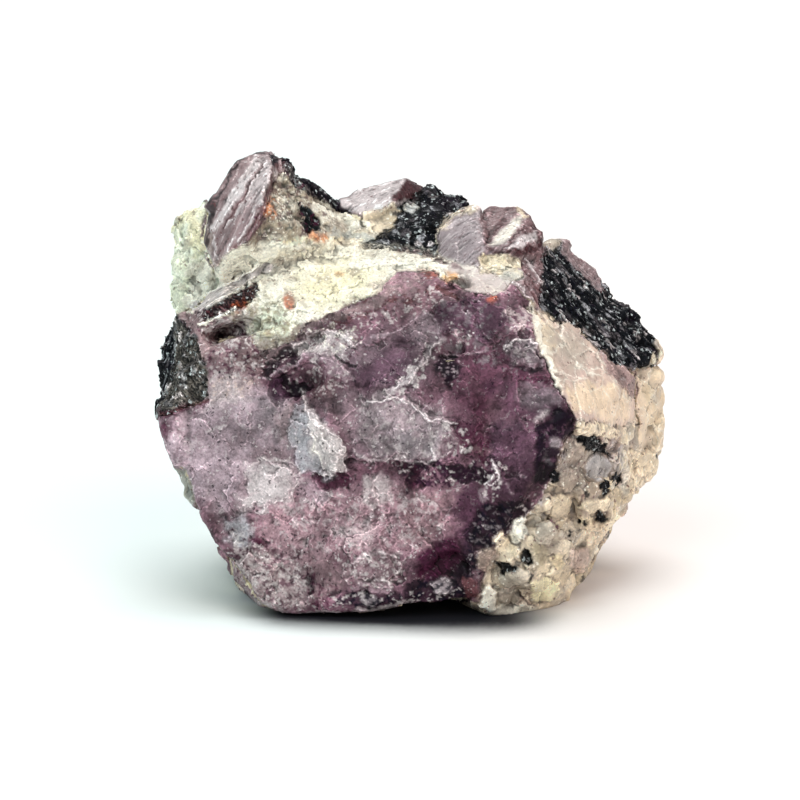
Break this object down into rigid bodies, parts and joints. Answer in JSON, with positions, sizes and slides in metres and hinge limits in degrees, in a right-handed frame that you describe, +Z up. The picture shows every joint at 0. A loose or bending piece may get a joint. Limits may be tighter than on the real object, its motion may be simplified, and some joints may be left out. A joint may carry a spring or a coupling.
{
  "type": "lepidolite specimen",
  "caption": "Broken lump of purple lepidolite mica grown in a quartz and feldspar matrix with black mica seams; free-standing mineral specimen.",
  "frame": {"origin": "centre of the bounding box's footprint, on the level surface that the specimen rests on", "axes": "+Z up; the broad lepidolite face looks towards -Y; +X runs to the right across that face"},
  "size_m": [0.083, 0.0574, 0.0707],
  "materials": {
    "lepidolite": "pearly broken mica over granular pale matrix"
  },
  "bodies": {
    "root": {"lepidolite_specimen": "lepidolite"}
  },
  "joints": []
}
